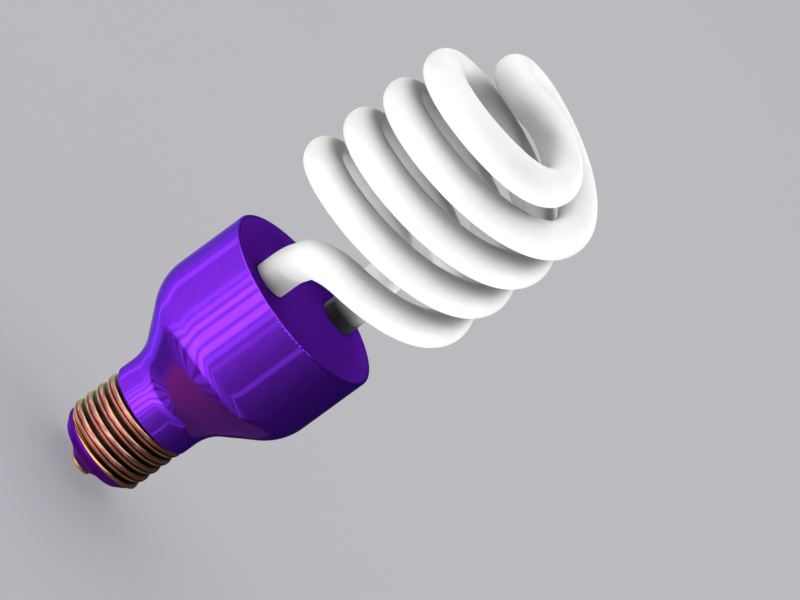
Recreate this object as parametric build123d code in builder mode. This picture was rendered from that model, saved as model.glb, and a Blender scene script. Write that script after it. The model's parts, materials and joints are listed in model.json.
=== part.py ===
"""Compact fluorescent bulb: a double-spiral tube on a moulded housing with a screw cap.

Millimetres, cap down. The origin is the middle of the contact's face and +Z is the bulb's axis.
"""

import math
import os

from build123d import *

# Fits between pieces
fit_gap = 0.1
glass_gap = 0.2
pin_gap = 0.1

# Screw cap, with the knuckle thread of the 27 mm screw base
shell_height = 15.4
crest_radius = 13.05
thread_depth = 1.0
thread_pitch = 3.629
ridge_width = 3.1
sheet = 0.35
lip_width = 1.45
insulator_drop = 8.0
insulator_radius = 12.2
insulator_wall = 2.0
insulator_flange = 2.0
shelf_radius = 10.2
shelf_height = 4.6
boss_radius = 6.3
boss_height = 3.0
shoulder_rise = 7.0
insulator_round = 1.2
contact_radius = 3.4
contact_thickness = 0.9
shank_radius = 1.5
shank_length = 3.6
rivet_radius = 2.3
rivet_height = 0.5

# Moulded housing
neck_radius = 13.25
body_radius = 25.9
neck_height = 9.0
cone_height = 15.45
body_height = 25.55
flare_radius = 13.0
shoulder_radius = 15.0
wall = 1.6
spigot_length = 7.0
spigot_wall = 1.4
rim_lip = 0.9
rim_round = 0.5
neck_round = 0.8

# Plate that closes the housing and holds the tube
plate_thickness = 2.0
skirt_depth = 6.0
skirt_wall = 1.2
snap_drop = 4.5
snap_radius = 0.4
collar_depth = 5.0
collar_wall = 1.2
post_radius = 1.2
post_inset = 2.8
rib_width = 2.0
rib_reach = 2.6
rib_height = 5.0
supports = 3
cement_height = 2.5
cement_width = 2.0

# Discharge tube
tube_radius = 4.95
spiral_radius = 25.9
spiral_pitch = 25.9
spiral_turns = 2
spiral_start_height = 20.65
spiral_start_angle = 277.9
crown_run = 4.0
leg_margin = 0.49
leg_angle = 235.4
leg_rise = 6.7
leg_bend = 7.5
join_run = 10.0
join_bend = 9.8
leg_clear = 5.0
leg_round = 3.0

# Ballast board and what stands on its underside
board_rise = 8.55
board_thickness = 1.6
board_gap = 0.5
pin_radius = 0.3
pin_stick = 1.0

can_radius = 5.0
can_height = 16.0
can_circle = 7.2
can_groove = 0.5
can_pin_pitch = 5.0

core_width = 13.0
core_height = 13.0
core_depth = 6.0
core_leg = 3.0
core_side = 2.2
core_back = 1.8
choke_circle = 5.4
bobbin_wall = 0.6
bobbin_flange = 0.8
bobbin_length = 12.0
bobbin_pin_pitch = 10.0
winding_inset = 0.2

ring_radius = 4.5
ring_bore = 2.25
ring_height = 4.0
ring_circle = 15.9
ring_angle = 142.0
ring_winding = 0.6
ring_winding_angle = 50.0
ring_windings = 3

drum_radius = 3.5
drum_height = 8.0
drum_waist = 1.6
drum_flange = 1.2
drum_circle = 16.2
drum_angle = 8.0
drum_pin_pitch = 4.0

film_depth = 4.5
film_circle = 16.2
film_round = 1.2
film_pin_pitch = 5.0
resonant_width = 9.0
resonant_height = 9.0
resonant_angle = 58.0
dc_block_width = 8.0
dc_block_height = 8.0
dc_block_angle = 104.0

transistor_width = 7.8
transistor_depth = 2.8
transistor_height = 11.0
transistor_stand = 2.0
transistor_pin_pitch = 2.3
transistor_circle = 14.5
transistor_hole = 1.6
upper_transistor_angle = 209.0
lower_transistor_angle = 250.0

diode_radius = 1.3
diode_length = 5.0
diode_pin_pitch = 8.0
diode_circle = 13.2
diode_row_step = 3.4
diode_angles = (288.0, 326.0)
axial_stand = 0.1

diac_radius = 0.9
diac_length = 3.6
diac_pin_pitch = 6.0
diac_circle = 15.5
diac_angle = 180.0
resistor_radius = 1.1
resistor_length = 4.4
resistor_pin_pitch = 7.4
resistor_circle = 19.0
resistor_angle = 180.0

# Fuse resistor, leads and posts
fuse_radius = 1.8
fuse_length = 9.5
fuse_rise = 17.0
fuse_tail = 2.5
lead_radius = 0.65
lead_bend = 4.0
lead_circle = 12.2
lead_rise = 4.0
lead_slant = 9.0
live_angle = 270.0
neutral_angle = 90.0
neutral_inset = 3.4
neutral_bend = 2.0
neutral_rise = 20.0
neutral_turn = 2
post_side = 0.8
post_height = 4.0
post_step = 4.0
filament_pitch = 2.4
filament_radius = 0.25
filament_bend = 1.0

# Heights and radii that follow from the sizes above
z_neck = insulator_drop + shell_height
z_body = z_neck + neck_height + cone_height
z_rim = z_body + body_height
z_plate = z_rim - plate_thickness
z_board = z_body + board_rise
z_under = z_board - board_thickness
z_leg = z_board + leg_clear
root_radius = crest_radius - thread_depth
shell_bore = root_radius - sheet
lip_bore = root_radius - lip_width
spigot_radius = shell_bore - fit_gap
inner_radius = body_radius - wall
plate_radius = body_radius - rim_lip - fit_gap
board_radius = inner_radius - board_gap
skirt_radius = inner_radius - fit_gap
post_circle = inner_radius - post_inset
leg_hole = tube_radius + glass_gap
cement_radius = leg_hole + cement_width
leg_circle = skirt_radius - skirt_wall - cement_radius - leg_margin
hole_radius = pin_radius + pin_gap
half_turn = 180.0


def polar(radius, angle, z=0.0):
    """Point at a radius and an angle in degrees around the bulb's axis."""
    turn = math.radians(angle)
    return Vector(radius * math.cos(turn), radius * math.sin(turn), z)


def seat(radius, angle):
    """Plane on the board's underside, local Z down and local X along the circle."""
    return Plane(origin=polar(radius, angle, z_under), x_dir=polar(1, angle + 90), z_dir=(0, 0, -1))


def upright(plane):
    """Plane through a seat with local X along the circle and local Y down."""
    return Plane(origin=plane.origin, x_dir=plane.x_dir, z_dir=-plane.y_dir)


def row_of_pins(plane, pitch, count=2):
    """Points of a row of pins along a seat's local X."""
    first = -pitch * (count - 1) / 2
    return [plane.from_local_coords(Vector(first + pitch * k, 0, 0)) for k in range(count)]


def save(built, name):
    built.part.label = name
    export_step(built.part, f"parts/{name}.step")


os.makedirs("parts", exist_ok=True)

# Discharge tube: one half from leg to crown, joined to its copy half a turn round the axis
slope = spiral_pitch / (2 * math.pi * spiral_radius)
z_spiral = z_rim + spiral_start_height
z_lobe = z_spiral + spiral_pitch * spiral_turns
lobe_radius = (spiral_radius**2 - crown_run**2) / (2 * spiral_radius)
lobe_centre = spiral_radius - lobe_radius
lobe_span = half_turn - math.degrees(math.acos(lobe_radius / lobe_centre))
lobe_pitch = 2 * math.pi * lobe_radius * slope
lobe_angle = spiral_start_angle + 360 * spiral_turns

with BuildLine() as spiral_line:
    Helix(spiral_pitch, spiral_pitch * spiral_turns, spiral_radius, center=(0, 0, z_spiral))
spiral_path = spiral_line.line.rotate(Axis.Z, spiral_start_angle)

with BuildLine() as lobe_line:
    Helix(lobe_pitch, lobe_pitch * lobe_span / 360, lobe_radius, center=(lobe_centre, 0, z_lobe))
lobe_path = lobe_line.line.rotate(Axis.Z, lobe_angle)

crown_start = lobe_path @ 1
crown_rise = crown_run * math.tan(math.atan(slope) / 2)
with BuildLine() as crown_line:
    TangentArc(crown_start, (0, 0, crown_start.Z + crown_rise), tangent=lobe_path % 1)

leg_foot = polar(leg_circle, leg_angle, z_leg)
leg_knee = polar(leg_circle, leg_angle, z_rim + leg_rise)
spiral_foot = spiral_path @ 0
join_knee = spiral_foot - (spiral_path % 0) * join_run
with BuildLine() as leg_line:
    FilletPolyline(leg_foot, leg_knee, join_knee, spiral_foot, radius=[leg_bend, join_bend])

with BuildPart() as discharge_tube:
    for path in (leg_line.line, spiral_path, lobe_path, crown_line.line):
        with BuildSketch(Plane(origin=path @ 0, z_dir=path % 0)) as bore_section:
            Circle(tube_radius)
        sweep(sections=bore_section.sketch, path=path)
    fillet(discharge_tube.faces().sort_by(Axis.Z)[0].edges(), leg_round)
    add(discharge_tube.part.rotate(Axis.Z, half_turn))
save(discharge_tube, "discharge_tube")

# Housing: an ogee shell with a spigot for the cap, a rebate for the plate and ribs for the board
cone_turn = math.atan2(body_radius - neck_radius, cone_height)


def housing_wall(inset):
    """Wall line of the housing, moved inwards by an inset, from the neck's end to the rim."""
    shift = inset * math.tan(cone_turn / 2)
    z_cone = z_neck + neck_height + shift
    FilletPolyline(
        (neck_radius - inset, z_neck),
        (neck_radius - inset, z_cone),
        (body_radius - inset, z_cone + cone_height),
        (body_radius - inset, z_rim),
        radius=[flare_radius + inset, shoulder_radius - inset],
    )


support_angle = leg_angle - 30
z_snap = z_rim - snap_drop

with BuildPart() as lower_housing:
    with BuildSketch(Plane.XZ):
        with BuildLine():
            housing_wall(0)
            Polyline((body_radius, z_rim), (0, z_rim), (0, z_neck), (neck_radius, z_neck))
        make_face()
    revolve(axis=Axis.Z)
    outer_edges = lower_housing.edges().filter_by(GeomType.CIRCLE)
    fillet(outer_edges.group_by(Axis.Z)[-1], rim_round)
    fillet(outer_edges.group_by(Axis.Z)[0], neck_round)
    with BuildSketch(Plane.XZ):
        with BuildLine():
            housing_wall(wall)
            Polyline((inner_radius, z_rim), (0, z_rim), (0, z_neck), (neck_radius - wall, z_neck))
        make_face()
    revolve(axis=Axis.Z, mode=Mode.SUBTRACT)
    with BuildSketch(Plane.XY.offset(z_plate)):
        Circle(body_radius - rim_lip)
    extrude(amount=plate_thickness, mode=Mode.SUBTRACT)
    with BuildSketch(Plane.XZ):
        with Locations((skirt_radius, z_snap)):
            Circle(snap_radius + fit_gap)
    revolve(axis=Axis.Z, mode=Mode.SUBTRACT)
    with BuildSketch(Plane.XY.offset(z_neck - spigot_length)):
        Circle(spigot_radius)
        Circle(spigot_radius - spigot_wall, mode=Mode.SUBTRACT)
    extrude(amount=spigot_length)
    with BuildSketch(Plane.XY.offset(z_neck)):
        Circle(neck_radius - neck_round)
        Circle(spigot_radius - spigot_wall, mode=Mode.SUBTRACT)
    extrude(amount=neck_round + wall)
    with BuildSketch(Plane.XY.offset(z_under)):
        with PolarLocations(inner_radius - rib_reach / 2, supports, support_angle):
            Rectangle(rib_reach + wall, rib_width)
    extrude(amount=-rib_height)
save(lower_housing, "lower_housing")

# Plate: closes the rim, carries the tube's legs in collars and holds the board down with posts
leg_spots = [polar(leg_circle, leg_angle), polar(leg_circle, leg_angle + half_turn)]
z_collar = z_plate - collar_depth

with BuildPart() as tube_plate:
    with BuildSketch(Plane.XY.offset(z_plate)):
        Circle(plate_radius)
    extrude(amount=plate_thickness)
    with BuildSketch(Plane.XY.offset(z_rim - skirt_depth)):
        Circle(skirt_radius)
        Circle(skirt_radius - skirt_wall, mode=Mode.SUBTRACT)
    extrude(amount=skirt_depth - plate_thickness)
    with BuildSketch(Plane.XZ):
        with Locations((skirt_radius, z_snap)):
            Circle(snap_radius)
    revolve(axis=Axis.Z)
    with BuildSketch(Plane.XY.offset(z_collar)):
        with Locations(*leg_spots):
            Circle(leg_hole + collar_wall)
    extrude(amount=collar_depth)
    with BuildSketch(Plane.XY.offset(z_board)):
        with PolarLocations(post_circle, supports, support_angle):
            Circle(post_radius)
    extrude(amount=z_plate - z_board)
    with BuildSketch(Plane.XY.offset(z_rim)):
        with Locations(*leg_spots):
            Circle(leg_hole)
    extrude(amount=-plate_thickness - collar_depth, mode=Mode.SUBTRACT)
save(tube_plate, "tube_plate")

# Cement beads that fix the legs under their collars
with BuildPart() as tube_cement:
    with BuildSketch(Plane.XY.offset(z_collar)):
        with Locations(*leg_spots):
            Circle(cement_radius)
            Circle(tube_radius + fit_gap, mode=Mode.SUBTRACT)
    extrude(amount=-cement_height)
    chamfer(tube_cement.edges().group_by(Axis.Z)[0].sort_by(SortBy.RADIUS)[-2:], cement_width / 2)
save(tube_cement, "tube_cement")

# Screw shell: rolled sheet with one rounded thread, turned in at its lower edge
ridge_arc = (ridge_width**2 / 4 + thread_depth**2) / (2 * thread_depth)
ridge_circle = crest_radius - ridge_arc
z_thread = insulator_drop - thread_pitch
with BuildLine() as thread_line:
    Helix(thread_pitch, shell_height + 2 * thread_pitch, ridge_circle, center=(0, 0, z_thread))


def threaded_bar(root, ridge, low, high):
    """Bar with a rounded helical ridge, cut flat at two heights."""
    path = thread_line.line
    with BuildPart() as bar:
        with BuildSketch(Plane(origin=path @ 0, z_dir=path % 0)) as ridge_section:
            Circle(ridge)
        sweep(sections=ridge_section.sketch, path=path, is_frenet=True)
        with BuildSketch(Plane.XY.offset(z_thread - thread_pitch)):
            Circle(root)
        extrude(amount=shell_height + 4 * thread_pitch)
        with BuildSketch(Plane.XY.offset(low)):
            Circle(crest_radius + ridge_width)
        extrude(amount=high - low, mode=Mode.INTERSECT)
    return bar.part


shell_form = threaded_bar(root_radius, ridge_arc, insulator_drop, z_neck)
shell_room = threaded_bar(shell_bore, ridge_arc - sheet, insulator_drop + sheet, z_neck + sheet)
with BuildPart() as screw_shell:
    add(shell_form)
    add(shell_room, mode=Mode.SUBTRACT)
    with BuildSketch(Plane.XY.offset(insulator_drop)):
        Circle(lip_bore)
    extrude(amount=sheet, mode=Mode.SUBTRACT)
save(screw_shell, "screw_shell")

# Insulator: a stepped cup moulded round the shell's lip and the contact's shank
collar_radius = lip_bore - fit_gap
cup_radius = collar_radius - insulator_wall
z_floor = contact_thickness + shank_length
z_lip = insulator_drop + sheet
z_flange = z_lip + insulator_flange
shank_bore = shank_radius + fit_gap

with BuildPart() as insulator:
    with BuildSketch(Plane.XZ):
        with BuildLine():
            FilletPolyline(
                (contact_radius, contact_thickness),
                (boss_radius, boss_height),
                (shelf_radius, shelf_height),
                (insulator_radius, shoulder_rise),
                (insulator_radius, insulator_drop),
                radius=insulator_round,
            )
            Polyline(
                (insulator_radius, insulator_drop),
                (collar_radius, insulator_drop),
                (collar_radius, z_lip),
                (shell_bore - fit_gap, z_lip),
                (shell_bore - fit_gap, z_flange),
                (cup_radius, z_flange),
                (cup_radius, shoulder_rise),
                (rivet_radius + rivet_height, z_floor),
                (shank_bore, z_floor),
                (shank_bore, contact_thickness),
                (contact_radius, contact_thickness),
            )
        make_face()
    revolve(axis=Axis.Z)
save(insulator, "insulator")

# Centre contact: a disc with a shank riveted over inside the insulator
z_rivet = z_floor + rivet_height
with BuildPart() as centre_contact:
    with BuildSketch(Plane.XZ):
        with BuildLine():
            Polyline(
                (0, 0),
                (contact_radius, 0),
                (contact_radius, contact_thickness),
                (shank_radius, contact_thickness),
                (shank_radius, z_floor),
                (rivet_radius, z_floor),
                (rivet_radius, z_rivet),
                (0, z_rivet),
                close=True,
            )
        make_face()
    revolve(axis=Axis.Z)
    fillet(centre_contact.edges().group_by(Axis.Z)[0], contact_thickness / 2)
save(centre_contact, "centre_contact")

# Seats of the parts on the board's underside
can_seat = seat(can_circle, half_turn)
choke_seat = seat(choke_circle, 0)
ring_seat = seat(ring_circle, ring_angle)
drum_seat = seat(drum_circle, drum_angle)
resonant_seat = seat(film_circle, resonant_angle)
dc_block_seat = seat(film_circle, dc_block_angle)
upper_transistor_seat = seat(transistor_circle, upper_transistor_angle)
lower_transistor_seat = seat(transistor_circle, lower_transistor_angle)
diode_circles = (diode_circle, diode_circle + diode_row_step)
diode_seats = [seat(radius, angle) for angle in diode_angles for radius in diode_circles]
diac_seat = seat(diac_circle, diac_angle)
resistor_seat = seat(resistor_circle, resistor_angle)

pin_points = row_of_pins(can_seat, can_pin_pitch)
pin_points += row_of_pins(choke_seat, bobbin_pin_pitch)
pin_points += row_of_pins(drum_seat, drum_pin_pitch)
for film_seat in (resonant_seat, dc_block_seat):
    pin_points += row_of_pins(film_seat, film_pin_pitch)
for transistor_seat in (upper_transistor_seat, lower_transistor_seat):
    pin_points += row_of_pins(transistor_seat, transistor_pin_pitch, 3)
for diode_seat in diode_seats:
    pin_points += row_of_pins(diode_seat, diode_pin_pitch)
pin_points += row_of_pins(diac_seat, diac_pin_pitch)
pin_points += row_of_pins(resistor_seat, resistor_pin_pitch)

# Ballast board: a drilled disc on the housing's ribs
with BuildPart() as ballast_board:
    with BuildSketch(Plane.XY.offset(z_under)):
        Circle(board_radius)
        with Locations(*[(point.X, point.Y) for point in pin_points]):
            Circle(hole_radius, mode=Mode.SUBTRACT)
    extrude(amount=board_thickness)
save(ballast_board, "ballast_board")

pin_length = board_thickness + pin_stick


def add_pins(plane, pitch, count=2, drop=0.0):
    """Row of pins from a depth below the seat up through the board."""
    with BuildSketch(plane.offset(drop)) as pins:
        with GridLocations(pitch, pitch, count, 1):
            Circle(pin_radius)
    extrude(pins.sketch, amount=-drop - pin_length)


def axial_part(plane, radius, length, pitch):
    """Round body along a seat's local X on a lead bent up through the board at both ends."""
    middle = axial_stand + radius
    across = upright(plane)
    with BuildLine(across) as lead:
        FilletPolyline(
            (-pitch / 2, -pin_length),
            (-pitch / 2, middle),
            (pitch / 2, middle),
            (pitch / 2, -pin_length),
            radius=2 * pin_radius,
        )
    with BuildSketch(Plane(origin=lead.line @ 0, z_dir=lead.line % 0)) as lead_section:
        Circle(pin_radius)
    sweep(sections=lead_section.sketch, path=lead.line)
    body_start = across.from_local_coords(Vector(-length / 2, middle, 0))
    with BuildSketch(Plane(origin=body_start, z_dir=plane.x_dir)) as body_section:
        Circle(radius)
    extrude(body_section.sketch, amount=length)


# Bulk capacitor: an upright can with a rolled groove
with BuildPart() as bulk_capacitor:
    with BuildSketch(can_seat):
        Circle(can_radius)
    extrude(amount=can_height)
    fillet(bulk_capacitor.edges().group_by(Axis.Z)[0], can_groove)
    with BuildSketch(upright(can_seat)):
        with Locations((can_radius, 4 * can_groove)):
            Circle(can_groove)
    revolve(axis=Axis(can_seat.origin, can_seat.z_dir), mode=Mode.SUBTRACT)
    add_pins(can_seat, can_pin_pitch)
save(bulk_capacitor, "bulk_capacitor")

# Ballast choke: a pair of E cores closed round a wound bobbin
core_window = (core_width - core_leg) / 2 - core_side
window_middle = (core_leg + core_window) / 2
with BuildPart() as inductor_core:
    with BuildSketch(Plane(choke_seat.origin, x_dir=choke_seat.y_dir, z_dir=choke_seat.x_dir)):
        with Locations((0, core_height / 2)):
            Rectangle(core_width, core_height)
        with Locations((-window_middle, core_height / 2), (window_middle, core_height / 2)):
            Rectangle(core_window, core_height - 2 * core_back, mode=Mode.SUBTRACT)
    extrude(amount=core_depth / 2, both=True)
save(inductor_core, "inductor_core")

bobbin_drop = core_back + fit_gap
bobbin_height = core_height - 2 * bobbin_drop
bobbin_bore = (core_depth + 2 * fit_gap, core_leg + 2 * fit_gap)
sleeve_size = (bobbin_bore[0] + 2 * bobbin_wall, bobbin_bore[1] + 2 * bobbin_wall)
flange_size = (bobbin_length, core_leg + 2 * core_window - 2 * fit_gap)
with BuildPart() as inductor_bobbin:
    with BuildSketch(choke_seat.offset(bobbin_drop)):
        Rectangle(*sleeve_size)
    extrude(amount=bobbin_height)
    for flange_drop in (bobbin_drop, bobbin_drop + bobbin_height - bobbin_flange):
        with BuildSketch(choke_seat.offset(flange_drop)):
            Rectangle(*flange_size)
        extrude(amount=bobbin_flange)
    with BuildSketch(choke_seat.offset(bobbin_drop)):
        Rectangle(*bobbin_bore)
    extrude(amount=bobbin_height, mode=Mode.SUBTRACT)
    add_pins(choke_seat, bobbin_pin_pitch, drop=bobbin_drop)
save(inductor_bobbin, "inductor_bobbin")

with BuildPart() as inductor_winding:
    with BuildSketch(choke_seat.offset(bobbin_drop + bobbin_flange)):
        RectangleRounded(
            flange_size[0] - 2 * winding_inset, flange_size[1] - 2 * winding_inset, core_window / 2
        )
        Rectangle(*sleeve_size, mode=Mode.SUBTRACT)
    extrude(amount=bobbin_height - 2 * bobbin_flange)
save(inductor_winding, "inductor_winding")

# Drive transformer: a ferrite ring lying under the board in three wound bands
ring_drop = ring_winding + fit_gap
with BuildPart() as toroid_core:
    with BuildSketch(ring_seat.offset(ring_drop)):
        Circle(ring_radius)
        Circle(ring_bore, mode=Mode.SUBTRACT)
    extrude(amount=ring_height)
save(toroid_core, "toroid_core")

ring_middle = (ring_radius + ring_bore) / 2
ring_width = ring_radius - ring_bore
with BuildPart() as toroid_windings:
    for k in range(ring_windings):
        band_angle = ring_angle + 360 * k / ring_windings
        band_plane = Plane(ring_seat.origin, x_dir=polar(1, band_angle), z_dir=polar(1, band_angle + 90))
        with BuildSketch(band_plane):
            with Locations((ring_middle, ring_drop + ring_height / 2)):
                Rectangle(ring_width + 2 * ring_drop, ring_height + 2 * ring_drop)
                Rectangle(ring_width + 2 * fit_gap, ring_height + 2 * fit_gap, mode=Mode.SUBTRACT)
        revolve(axis=Axis(ring_seat.origin, ring_seat.z_dir), revolution_arc=ring_winding_angle)
save(toroid_windings, "toroid_windings")

# Input choke: a wound drum
with BuildPart() as drum_core:
    with BuildSketch(drum_seat):
        Circle(drum_waist)
    extrude(amount=drum_height)
    for flange_drop in (0, drum_height - drum_flange):
        with BuildSketch(drum_seat.offset(flange_drop)):
            Circle(drum_radius)
        extrude(amount=drum_flange)
    add_pins(drum_seat, drum_pin_pitch)
save(drum_core, "drum_core")

with BuildPart() as drum_winding:
    with BuildSketch(drum_seat.offset(drum_flange)):
        Circle(drum_radius - winding_inset)
        Circle(drum_waist + fit_gap, mode=Mode.SUBTRACT)
    extrude(amount=drum_height - 2 * drum_flange)
save(drum_winding, "drum_winding")


def film_capacitor(plane, width, height):
    """Dipped film capacitor with rounded edges."""
    with BuildSketch(plane) as block_section:
        RectangleRounded(width, film_depth, film_round)
    block = extrude(block_section.sketch, amount=height)
    fillet(block.edges().group_by(Axis.Z)[0], film_round / 2)
    add_pins(plane, film_pin_pitch)


with BuildPart() as resonant_capacitor:
    film_capacitor(resonant_seat, resonant_width, resonant_height)
save(resonant_capacitor, "resonant_capacitor")

with BuildPart() as dc_block_capacitor:
    film_capacitor(dc_block_seat, dc_block_width, dc_block_height)
save(dc_block_capacitor, "dc_block_capacitor")


def transistor(plane):
    """Flat moulded transistor with a fixing hole, hung on three pins."""
    with BuildSketch(plane.offset(transistor_stand)) as case_section:
        Rectangle(transistor_width, transistor_depth)
    extrude(case_section.sketch, amount=transistor_height)
    with BuildSketch(upright(plane)) as fixing_hole:
        with Locations((0, transistor_stand + transistor_height - 2 * transistor_hole)):
            Circle(transistor_hole)
    extrude(fixing_hole.sketch, amount=transistor_depth, both=True, mode=Mode.SUBTRACT)
    add_pins(plane, transistor_pin_pitch, count=3, drop=transistor_stand)


with BuildPart() as upper_transistor:
    transistor(upper_transistor_seat)
save(upper_transistor, "upper_transistor")

with BuildPart() as lower_transistor:
    transistor(lower_transistor_seat)
save(lower_transistor, "lower_transistor")

# Small parts on bent leads
with BuildPart() as rectifier_diodes:
    for diode_seat in diode_seats:
        axial_part(diode_seat, diode_radius, diode_length, diode_pin_pitch)
save(rectifier_diodes, "rectifier_diodes")

with BuildPart() as trigger_diac:
    axial_part(diac_seat, diac_radius, diac_length, diac_pin_pitch)
save(trigger_diac, "trigger_diac")

with BuildPart() as start_resistor:
    axial_part(resistor_seat, resistor_radius, resistor_length, resistor_pin_pitch)
save(start_resistor, "start_resistor")

# Fuse resistor: stands on the contact's rivet in the neck
z_fuse = z_rivet + fuse_rise
z_tail = z_fuse + fuse_length + fuse_tail
with BuildPart() as fuse_resistor:
    with BuildSketch(Plane.XY.offset(z_rivet)):
        Circle(pin_radius)
    extrude(amount=z_tail - z_rivet)
    with BuildSketch(Plane.XY.offset(z_fuse)):
        Circle(fuse_radius)
    extrude(amount=fuse_length)
    fillet(fuse_resistor.edges().filter_by_position(Axis.Z, z_fuse, z_fuse + fuse_length), pin_radius)
save(fuse_resistor, "fuse_resistor")


def insulated_lead(points, bends):
    """Round wire along straight runs joined by tangent arcs."""
    with BuildLine() as route:
        FilletPolyline(*points, radius=bends)
    with BuildSketch(Plane(origin=route.line @ 0, z_dir=route.line % 0)) as wire_section:
        Circle(lead_radius)
    sweep(sections=wire_section.sketch, path=route.line)


# Live lead: from the fuse resistor up to the board
z_live = z_tail + lead_rise
live_points = [
    (0, 0, z_tail),
    (0, 0, z_live),
    polar(lead_circle, live_angle, z_live + lead_slant),
    polar(lead_circle, live_angle, z_under),
]
with BuildPart() as live_lead:
    insulated_lead(live_points, [lead_bend, lead_bend])
save(live_lead, "live_lead")

# Neutral lead: from a groove of the shell up to the board
z_solder = z_thread + thread_pitch * (neutral_turn + neutral_angle / 360 + 0.5)
neutral_radius = shell_bore - neutral_inset
z_neutral = z_solder + neutral_rise
neutral_points = [
    polar(shell_bore - fit_gap, neutral_angle, z_solder),
    polar(neutral_radius, neutral_angle, z_solder),
    polar(neutral_radius, neutral_angle, z_neutral),
    polar(lead_circle, neutral_angle, z_neutral + lead_slant),
    polar(lead_circle, neutral_angle, z_under),
]
with BuildPart() as neutral_lead:
    insulated_lead(neutral_points, [neutral_bend, lead_bend, lead_bend])
save(neutral_lead, "neutral_lead")

# Posts on the board beside each leg, and the tube's filament leads that end on them
post_offset = filament_pitch / 2 + post_step
leg_planes = [
    Plane(polar(leg_circle, angle, z_board), x_dir=polar(side, angle + 90), z_dir=(0, 0, 1))
    for angle in (leg_angle, leg_angle + half_turn)
    for side in (-1, 1)
]
with BuildPart() as wire_posts:
    for leg_plane in leg_planes:
        with BuildSketch(leg_plane):
            with Locations((post_offset, 0)):
                Rectangle(post_side, post_side)
        extrude(amount=post_height)
save(wire_posts, "wire_posts")

with BuildPart() as filament_leads:
    for leg_plane in leg_planes:
        wire_points = [
            leg_plane.from_local_coords(Vector(filament_pitch / 2, 0, z_leg - z_board)),
            leg_plane.from_local_coords(Vector(filament_pitch / 2, 0, post_height / 2)),
            leg_plane.from_local_coords(Vector(post_offset - post_side / 2, 0, post_height / 2)),
        ]
        with BuildLine() as filament_route:
            FilletPolyline(*wire_points, radius=filament_bend)
        with BuildSketch(Plane(wire_points[0], z_dir=(0, 0, -1))) as filament_section:
            Circle(filament_radius)
        sweep(sections=filament_section.sketch, path=filament_route.line)
save(filament_leads, "filament_leads")
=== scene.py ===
"""Looks of the compact fluorescent bulb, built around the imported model. Lengths are metres."""

import json
import math

import bpy
from mathutils import Matrix, Vector

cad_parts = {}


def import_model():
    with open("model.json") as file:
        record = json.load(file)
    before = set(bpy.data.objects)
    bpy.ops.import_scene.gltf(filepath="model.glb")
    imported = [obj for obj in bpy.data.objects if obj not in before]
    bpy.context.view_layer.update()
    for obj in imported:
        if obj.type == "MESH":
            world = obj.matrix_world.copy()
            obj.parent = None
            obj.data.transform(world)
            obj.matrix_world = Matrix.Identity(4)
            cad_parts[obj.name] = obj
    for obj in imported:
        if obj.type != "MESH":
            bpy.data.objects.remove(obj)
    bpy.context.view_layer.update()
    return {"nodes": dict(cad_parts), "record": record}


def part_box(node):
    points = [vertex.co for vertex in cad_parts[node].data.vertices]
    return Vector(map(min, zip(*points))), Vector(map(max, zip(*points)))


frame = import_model()
nodes = frame["nodes"]

# Heights of the housing's rim and of the shell's lower edge
z_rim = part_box("lower_housing")[1].z
z_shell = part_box("screw_shell")[0].z
plate_centre = Vector((0, 0, z_rim))

# Noise values where a surface's dark and light colours lie, and the unevenness that the noise gives it
spot_stops = (0.3, 0.7)
grain_height = 0.00002
grain_strength = 0.2

# White coating of the tube
tube_dark = (0.79, 0.79, 0.78)
tube_light = (0.84, 0.84, 0.83)
tube_spots = 160
tube_roughness = (0.28, 0.36)
tube_gloss = 0.03
tube_grain = 0.00004

# Greyed ends of the tube's legs, partly blackening from use and partly painted shade where the legs meet the
# plate, darkest on the +X leg: side in X, colour, and heights over the rim where the grey fades and ends
leg_end_soot_and_painted_shade = [
    (-1, (0.55, 0.56, 0.53), 0.004, 0.018),
    (1, (0.05, 0.052, 0.05), 0.003, 0.009),
]

# Distance in X from the bulb's axis where the grey of blackening and painted shade is full
soot_and_shade_distance = 0.005

# Violet mouldings: name, dark, light, roughness, metallic, specular and lacquer
violet_mouldings = [
    ("housing_plastic", (0.21, 0.004, 0.86), (0.24, 0.006, 0.94), (0.06, 0.10), 1.0, 0.5, 0.1),
    ("plate_plastic", (0.105, 0.010, 0.38), (0.115, 0.011, 0.42), (0.4, 0.5), 0.0, 0.0, 0.0),
    ("insulator_plastic", (0.09, 0.005, 0.26), (0.12, 0.007, 0.32), (0.30, 0.40), 0.9, 0.3, 0.0),
]
violet_spots = 300
violet_grain = 0.000002
violet_tint = (0.45, 0.12, 0.95)
lacquer_index = 3.0
lacquer_roughness = 0.04

# Screw cap: its thread's pitch, and colours at shares of that pitch from crest to crest: painted reflection
# bands on the crests and flanks, and painted shade in the grooves
thread_pitch = 0.003629
thread_painted_reflection_and_shade = [
    (0.00, (0.14, 0.014, 0.012)),
    (0.06, (0.18, 0.020, 0.016)),
    (0.13, (0.68, 0.29, 0.23)),
    (0.30, (0.60, 0.36, 0.24)),
    (0.38, (0.02, 0.015, 0.01)),
    (0.58, (0.02, 0.015, 0.01)),
    (0.66, (0.66, 0.28, 0.22)),
    (0.88, (0.72, 0.31, 0.25)),
    (0.96, (0.14, 0.014, 0.012)),
]
cap_roughness = (0.32, 0.16)

# Gilt lower edge of the cap, and the heights over that edge where it fades and ends
gilt = (0.70, 0.38, 0.10)
gilt_heights = (0.0003, 0.0006)

# Rolling streaks along the thread: how many in a turn and in a pitch, their colours, and how far they show
streaks_per_turn = 18.0
streaks_per_pitch = 14.0
streak_detail = 6.0
streak_fineness = 0.65
streak_mean = 0.5
streak_wander = 0.22
streak_colours = [(0.40, (0.28, 0.14, 0.12)), (0.54, (1.0, 1.0, 1.0))]
streak_share = 0.85
streak_strength = 0.5
streak_grain = 0.00003

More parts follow.
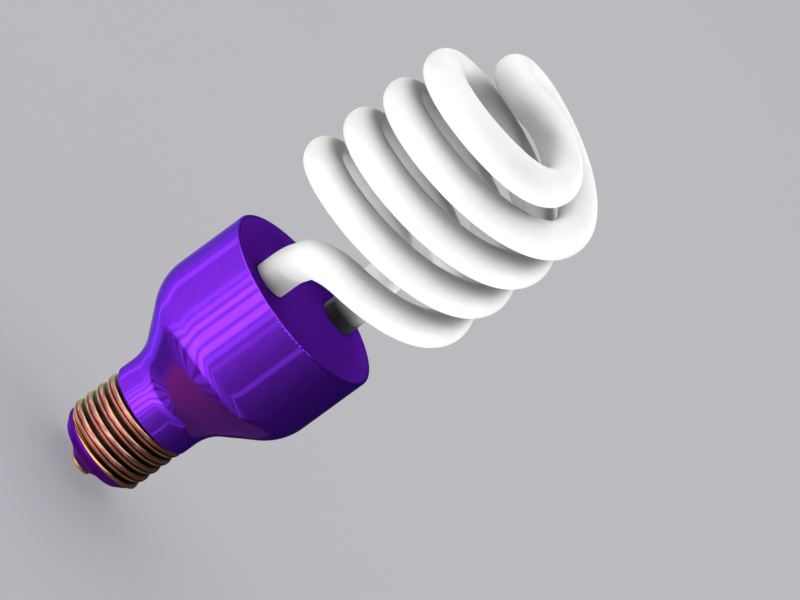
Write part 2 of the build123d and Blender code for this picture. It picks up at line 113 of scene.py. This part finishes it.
# Other surfaces: name, dark, light, roughness, spots in a metre, metallic and lacquer
other_surfaces = [
    ("contact_metal", (0.35, 0.18, 0.05), (0.7, 0.45, 0.18), (0.25, 0.4), 900, 1.0, 0.0),
    ("cement", (0.75, 0.72, 0.65), (0.86, 0.84, 0.78), (0.8, 0.95), 1500, 0.0, 0.0),
    ("board_laminate", (0.28, 0.18, 0.07), (0.36, 0.25, 0.11), (0.5, 0.7), 900, 0.0, 0.0),
    ("can_sleeve", (0.03, 0.035, 0.07), (0.05, 0.06, 0.1), (0.3, 0.45), 700, 0.0, 0.0),
    ("ferrite", (0.05, 0.05, 0.055), (0.09, 0.09, 0.095), (0.55, 0.75), 1800, 0.0, 0.0),
    ("bobbin_plastic", (0.78, 0.76, 0.68), (0.86, 0.84, 0.77), (0.4, 0.55), 800, 0.0, 0.0),
    ("copper_wire", (0.5, 0.2, 0.08), (0.7, 0.34, 0.16), (0.25, 0.4), 2500, 1.0, 0.0),
    ("film_dip", (0.36, 0.08, 0.04), (0.46, 0.12, 0.06), (0.2, 0.35), 700, 0.0, 0.4),
    ("black_moulding", (0.02, 0.02, 0.02), (0.04, 0.04, 0.042), (0.5, 0.7), 1500, 0.0, 0.0),
    ("diac_glass", (0.03, 0.12, 0.34), (0.06, 0.18, 0.46), (0.1, 0.2), 1200, 0.0, 0.6),
    ("resistor_coat", (0.3, 0.37, 0.33), (0.38, 0.45, 0.41), (0.25, 0.4), 1200, 0.0, 0.3),
    ("lead_sleeve", (0.68, 0.68, 0.66), (0.78, 0.78, 0.76), (0.45, 0.6), 1200, 0.0, 0.0),
    ("tinned_wire", (0.55, 0.55, 0.54), (0.7, 0.7, 0.68), (0.2, 0.35), 3000, 1.0, 0.0),
]

# Floor: half its width, its paint, and the glow that keeps it evenly pale
floor_reach = 4.0
floor_dark = (0.12, 0.12, 0.13)
floor_light = (0.13, 0.13, 0.14)
floor_roughness = (0.6, 0.7)
floor_spots = 3
floor_glow = (0.96, 0.94, 1.0)
floor_brightness = 0.29

# Soft lights: name, azimuth from +X and elevation in degrees, distance, size and power
lights = [
    ("right", 0, -5, 1.5, 1.4, 28),
    ("overhead", 90, 80, 1.5, 1.4, 29),
    ("front", 275, -30, 1.5, 1.5, 25),
    ("left", 207, -10, 1.5, 1.2, 23),
    ("back", 90, 0, 1.8, 1.4, 15),
]

# Plain walls that the gloss reflects: azimuth from +X in degrees, and colour
walls = [
    (0, (0.1, 0.1, 0.1)),
    (85, (0.05, 0.05, 0.06)),
    (105, (0.6, 0.8, 0.55)),
    (130, (0.6, 0.8, 0.55)),
    (145, (0.8, 0.8, 0.8)),
    (190, (0.8, 0.8, 0.8)),
    (205, (0.9, 0.9, 0.9)),
    (255, (0.9, 0.9, 0.9)),
    (263, (0.6, 0.6, 0.6)),
    (300, (0.3, 0.3, 0.3)),
    (350, (0.12, 0.12, 0.12)),
]

# Tall strip lights in front of the walls: azimuth and half width in degrees, and brightness
strip_lights = [
    (156, 4, 0.5),
    (204, 2, 0.3),
    (214, 2, 0.6),
    (225, 2, 1.0),
    (238, 4, 0.9),
    (252, 3, 0.9),
    (263, 2, 0.4),
    (274, 2, 0.2),
    (314, 2, 0.3),
]
strip_edge = 2

# How bright the walls and strips are at each height, from straight down, -1, to straight up, 1
height_bands = [
    (-1.00, 0.32),
    (-0.83, 0.32),
    (-0.78, 0.95),
    (-0.66, 1.10),
    (-0.20, 1.00),
    (0.60, 1.00),
]

# Between these heights, going down, the walls and strips fan out from one azimuth: the angles from it come to
# count for a share of their size
fan_centre = 235
fan_heights = (-0.84, -0.56)
fan_share = 0.4

# Bright panel overhead: where its middle is, how far it reaches, as a cosine, and its colour
panel_direction = (-0.20, -0.10, 0.97)
panel_reach = 0.70
panel_colour = (2.2, 2.2, 2.2)

# Warm patch of ground, below and behind, whose colour changes from left to right between two places in X
ground_direction = (0.30, 0.35, -0.89)
ground_reach = 0.85
ground_left = (0.60, 0.42, 0.20)
ground_right = (0.20, 0.28, 0.10)
ground_change = (-0.2, 0.45)
patch_edge = 0.02

# Camera: the photograph's frame and scale, where the plate's middle is in it, and how the bulb leans there
photo_width = 800
photo_height = 600
plate_pixel = (303.9, 299.5)
pixels_per_metre = 4000
focal_pixels = 24000
lean = math.radians(36.12)
tilt = math.radians(17.79)
sensor_width = 36
view_depth = 50

# Places of the factor and the two colours, and of the result, among a colour mix's sockets
mix_inputs = (0, 6, 7)
mix_output = 2


# Nodes


def new_material(name):
    material = bpy.data.materials.new(name)
    material.use_nodes = True
    return material, material.node_tree, material.node_tree.nodes["Principled BSDF"]


def add_node(tree, kind, **values):
    """Node with its properties and unlinked sockets set."""
    node = tree.nodes.new(kind)
    for key, value in values.items():
        if key in node.inputs:
            node.inputs[key].default_value = value
        else:
            setattr(node, key, value)
    return node


def set_sockets(shader, **values):
    for key, value in values.items():
        shader.inputs[key.replace("_", " ")].default_value = value


def math_node(tree, operation, first, second=0.0):
    """Math node whose two inputs are sockets or numbers."""
    node = add_node(tree, "ShaderNodeMath", operation=operation)
    for socket, value in zip(node.inputs, (first, second)):
        if isinstance(value, (int, float)):
            socket.default_value = value
        else:
            tree.links.new(value, socket)
    return node.outputs["Value"]


def scaled(tree, socket, factor, offset):
    """Socket times a factor, plus an offset."""
    return math_node(tree, "ADD", math_node(tree, "MULTIPLY", socket, factor), offset)


def coordinates(tree, source="Object"):
    place = add_node(tree, "ShaderNodeTexCoord")
    parts = add_node(tree, "ShaderNodeSeparateXYZ")
    tree.links.new(place.outputs[source], parts.inputs["Vector"])
    return parts.outputs["X"], parts.outputs["Y"], parts.outputs["Z"]


def turn_share(tree, x, y):
    """Share of a full turn round Z, from 0 to 1, counted from +X."""
    angle = math_node(tree, "ARCTAN2", y, x)
    return math_node(tree, "FRACT", math_node(tree, "MULTIPLY", angle, 1 / math.tau))


def noise(tree, scale, detail=4.0, roughness=0.55, vector=None):
    """Noise in the object's own coordinates, or along a given vector."""
    node = add_node(tree, "ShaderNodeTexNoise", Scale=scale, Detail=detail, Roughness=roughness)
    if vector is None:
        vector = add_node(tree, "ShaderNodeTexCoord").outputs["Object"]
    tree.links.new(vector, node.inputs["Vector"])
    return node.outputs["Fac"]


def ramp(tree, factor, stops):
    node = add_node(tree, "ShaderNodeValToRGB")
    elements = node.color_ramp.elements
    while len(elements) < len(stops):
        elements.new(1.0)
    for element, (position, colour) in zip(elements, stops):
        element.position = position
        element.color = (*colour, 1)
    tree.links.new(factor, node.inputs["Fac"])
    return node.outputs["Color"]


def value_range(tree, factor, low, high, start=0.0, end=1.0):
    """Value that goes from low to high while the factor goes from start to end."""
    node = add_node(tree, "ShaderNodeMapRange")
    for key, value in {"From Min": start, "From Max": end, "To Min": low, "To Max": high}.items():
        node.inputs[key].default_value = value
    tree.links.new(factor, node.inputs["Value"])
    return node.outputs["Result"]


def mix(tree, blend, factor, first, second):
    """Colour mix whose inputs are sockets, numbers or colours."""
    node = add_node(tree, "ShaderNodeMix", data_type="RGBA", blend_type=blend)
    for place, value in zip(mix_inputs, (factor, first, second)):
        socket = node.inputs[place]
        if isinstance(value, (int, float)):
            socket.default_value = value
        elif isinstance(value, tuple):
            socket.default_value = (*value, 1)
        else:
            tree.links.new(value, socket)
    return node.outputs[mix_output]


def bump(tree, shader, height, strength, distance):
    node = add_node(tree, "ShaderNodeBump", Strength=strength, Distance=distance)
    tree.links.new(height, node.inputs["Height"])
    tree.links.new(node.outputs["Normal"], shader.inputs["Normal"])


# Materials


def mottled(name, dark, light, roughness, spots_per_metre, metallic=0.0, lacquer=0.0, grain=grain_height):
    """Surface whose colour, gloss and height vary softly with noise."""
    material, tree, shader = new_material(name)
    spots = noise(tree, spots_per_metre)
    tree.links.new(ramp(tree, spots, list(zip(spot_stops, (dark, light)))), shader.inputs["Base Color"])
    tree.links.new(value_range(tree, spots, *roughness), shader.inputs["Roughness"])
    set_sockets(shader, Metallic=metallic, Coat_Weight=lacquer)
    bump(tree, shader, spots, grain_strength, grain)
    return material


def violet_gloss(name, dark, light, roughness, metallic, specular, lacquer):
    """Violet lacquered moulding whose reflections are tinted like its colour."""
    material = mottled(name, dark, light, roughness, violet_spots, metallic, lacquer, violet_grain)
    shader = material.node_tree.nodes["Principled BSDF"]
    set_sockets(shader, Specular_IOR_Level=specular, Specular_Tint=(*violet_tint, 1))
    set_sockets(shader, Coat_IOR=lacquer_index, Coat_Roughness=lacquer_roughness)
    return material


def tube_glass():
    """White coated glass, greyed at its two legs by use and by painted shade, one more than the other."""
    material, tree, shader = new_material("tube_glass")
    x, y, z = coordinates(tree)
    spots = noise(tree, tube_spots)
    shade = ramp(tree, spots, list(zip(spot_stops, (tube_dark, tube_light))))
    # Painted shade at the legs' bases near the plate, mixed with blackening from use; darkest on the +X leg
    for side, soot_and_shade_grey, fade, end in leg_end_soot_and_painted_shade:
        near = value_range(tree, x, 0.0, 1.0, 0.0, side * soot_and_shade_distance)
        low = value_range(tree, z, 1.0, 0.0, z_rim + fade, z_rim + end)
        shade = mix(tree, "MIX", math_node(tree, "MULTIPLY", near, low), shade, soot_and_shade_grey)
    tree.links.new(shade, shader.inputs["Base Color"])
    tree.links.new(value_range(tree, spots, *tube_roughness), shader.inputs["Roughness"])
    set_sockets(shader, Specular_IOR_Level=tube_gloss)
    bump(tree, shader, spots, grain_strength, tube_grain)
    return material


def cap_metal():
    """Rolled copper-toned sheet: streaks along the thread, painted reflection bands on its crests and flanks,
    painted shade in its grooves, and a gilt lower edge.
    """
    material, tree, shader = new_material("cap_metal")
    x, y, z = coordinates(tree)
    turn = turn_share(tree, x, y)
    along = math_node(tree, "DIVIDE", math_node(tree, "SUBTRACT", z, z_shell), thread_pitch)
    coil = math_node(tree, "SUBTRACT", along, turn)
    streak_place = add_node(tree, "ShaderNodeCombineXYZ")
    tree.links.new(math_node(tree, "MULTIPLY", turn, streaks_per_turn), streak_place.inputs["X"])
    tree.links.new(math_node(tree, "MULTIPLY", coil, streaks_per_pitch), streak_place.inputs["Y"])
    streaks = noise(tree, 1.0, streak_detail, streak_fineness, streak_place.outputs["Vector"])
    wander = math_node(tree, "MULTIPLY", math_node(tree, "SUBTRACT", streaks, streak_mean), streak_wander)
    phase = math_node(tree, "FRACT", math_node(tree, "ADD", coil, wander))
    lines = ramp(tree, streaks, streak_colours)
    # Painted reflection bands on the crests and flanks and painted shade in the grooves, darkened by the
    # streaks
    painted_thread_and_streaks = mix(tree, "MULTIPLY", streak_share, ramp(tree, phase, thread_painted_reflection_and_shade), lines)
    edge = value_range(tree, z, 1.0, 0.0, *(z_shell + height for height in gilt_heights))
    tree.links.new(mix(tree, "MIX", edge, painted_thread_and_streaks, gilt), shader.inputs["Base Color"])
    tree.links.new(value_range(tree, streaks, *cap_roughness), shader.inputs["Roughness"])
    set_sockets(shader, Metallic=1.0)
    bump(tree, shader, streaks, streak_strength, streak_grain)
    return material


def make_materials():
    made = {"tube_glass": tube_glass(), "cap_metal": cap_metal()}
    for row in violet_mouldings:
        made[row[0]] = violet_gloss(*row)
    for row in other_surfaces:
        made[row[0]] = mottled(*row)
    return made


def paint_nodes(materials):
    for row in frame["record"]["subparts"]:
        mesh = nodes[row["node"]].data
        mesh.materials.clear()
        mesh.materials.append(materials[row["material_slot"]])


# Stage: floor, lights, surroundings and camera


def floor():
    """Pale floor that lets the lights and surroundings below it reach the bulb."""
    material = mottled("floor_paint", floor_dark, floor_light, floor_roughness, floor_spots)
    shader = material.node_tree.nodes["Principled BSDF"]
    set_sockets(shader, Emission_Color=(*floor_glow, 1), Emission_Strength=floor_brightness)
    corners = [(x * floor_reach, y * floor_reach, 0) for x, y in ((-1, -1), (1, -1), (1, 1), (-1, 1))]
    mesh = bpy.data.meshes.new("floor")
    mesh.from_pydata(corners, [], [(0, 1, 2, 3)])
    mesh.materials.append(material)
    piece = bpy.data.objects.new("floor", mesh)
    bpy.context.scene.collection.objects.link(piece)
    piece.visible_glossy = False
    piece.visible_diffuse = False
    piece.visible_shadow = False


def around(azimuth, elevation):
    """Direction from the bulb at an azimuth from +X and an elevation, in degrees."""
    turn = math.radians(azimuth)
    rise = math.radians(elevation)
    return Vector((math.cos(turn) * math.cos(rise), math.sin(turn) * math.cos(rise), math.sin(rise)))


def area_light(name, azimuth, elevation, distance, size, power):
    """Square soft light that isn't seen in reflections and isn't passed on from surface to surface."""
    light = bpy.data.lights.new(name, "AREA")
    light.size = size
    light.energy = power
    light.cycles.max_bounces = 0
    lamp = bpy.data.objects.new(name, light)
    bpy.context.scene.collection.objects.link(lamp)
    direction = around(azimuth, elevation)
    lamp.location = plate_centre + direction * distance
    lamp.rotation_euler = direction.to_track_quat("Z", "Y").to_euler()
    lamp.visible_camera = False
    lamp.visible_glossy = False


def strip_glow(tree, turn, azimuth, half_width, brightness):
    """Light of one soft-edged strip at a share of a full turn."""
    aside = math_node(tree, "ABSOLUTE", scaled(tree, turn, 360, -azimuth))
    return value_range(tree, aside, brightness, 0.0, half_width, half_width + strip_edge)


def patch(tree, parts, direction, reach):
    """Soft-edged round patch: 1 within its reach of its middle, and 0 elsewhere."""
    toward = 0.0
    for part, share in zip(parts, direction):
        toward = math_node(tree, "ADD", math_node(tree, "MULTIPLY", part, share), toward)
    return value_range(tree, toward, 0.0, 1.0, reach - patch_edge, reach + patch_edge)


def world():
    """Surroundings that only the gloss shows: walls, strips that fan out below, a panel and warm ground."""
    made = bpy.data.worlds.new("world")
    made.use_nodes = True
    tree = made.node_tree
    x, y, z = coordinates(tree, "Generated")
    spread = value_range(tree, z, fan_share, 1.0, *fan_heights)
    apart = scaled(tree, turn_share(tree, x, y), 1.0, -fan_centre / 360)
    turn = scaled(tree, math_node(tree, "MULTIPLY", apart, spread), 1.0, fan_centre / 360)
    plain = ramp(tree, turn, [(azimuth / 360, colour) for azimuth, colour in walls])
    glow = 0.0
    for row in strip_lights:
        glow = math_node(tree, "ADD", strip_glow(tree, turn, *row), glow)
    level = value_range(tree, z, 0.0, 1.0, -1.0, 1.0)
    bands = ramp(tree, level, [((height + 1) / 2, (share,) * 3) for height, share in height_bands])
    sides = mix(tree, "MULTIPLY", 1.0, mix(tree, "ADD", 1.0, plain, glow), bands)
    ground = mix(tree, "MIX", value_range(tree, x, 0.0, 1.0, *ground_change), ground_left, ground_right)
    on_ground = patch(tree, (x, y, z), ground_direction, ground_reach)
    on_panel = patch(tree, (x, y, z), panel_direction, panel_reach)
    room = mix(tree, "MIX", on_panel, mix(tree, "MIX", on_ground, sides, ground), panel_colour)
    tree.links.new(room, tree.nodes["Background"].inputs["Color"])
    bpy.context.scene.world = made
    made.cycles_visibility.diffuse = False


def camera():
    """Long-lens camera, rolled so that the bulb's axis leans as in the photograph."""
    x_seen = Vector((math.sin(lean), -math.cos(lean), 0))
    z_seen = Vector((math.cos(tilt) * math.cos(lean), math.cos(tilt) * math.sin(lean), math.sin(tilt)))
    y_seen = z_seen.cross(x_seen)
    right, up, back = (Vector(parts) for parts in zip(x_seen, y_seen, z_seen))
    data = bpy.data.cameras.new("camera")
    data.sensor_width = sensor_width
    data.lens = sensor_width * focal_pixels / photo_width
    data.clip_end = view_depth
    rig = bpy.data.objects.new("camera", data)
    bpy.context.scene.collection.objects.link(rig)
    aside = (photo_width / 2 - plate_pixel[0]) / pixels_per_metre
    above = (plate_pixel[1] - photo_height / 2) / pixels_per_metre
    place = plate_centre + back * focal_pixels / pixels_per_metre + right * aside + up * above
    rig.matrix_world = Matrix.Translation(place) @ Matrix((right, up, back)).transposed().to_4x4()
    bpy.context.scene.camera = rig


paint_nodes(make_materials())
floor()
for row in lights:
    area_light(*row)
world()
camera()
bpy.context.scene.view_settings.view_transform = "Standard"
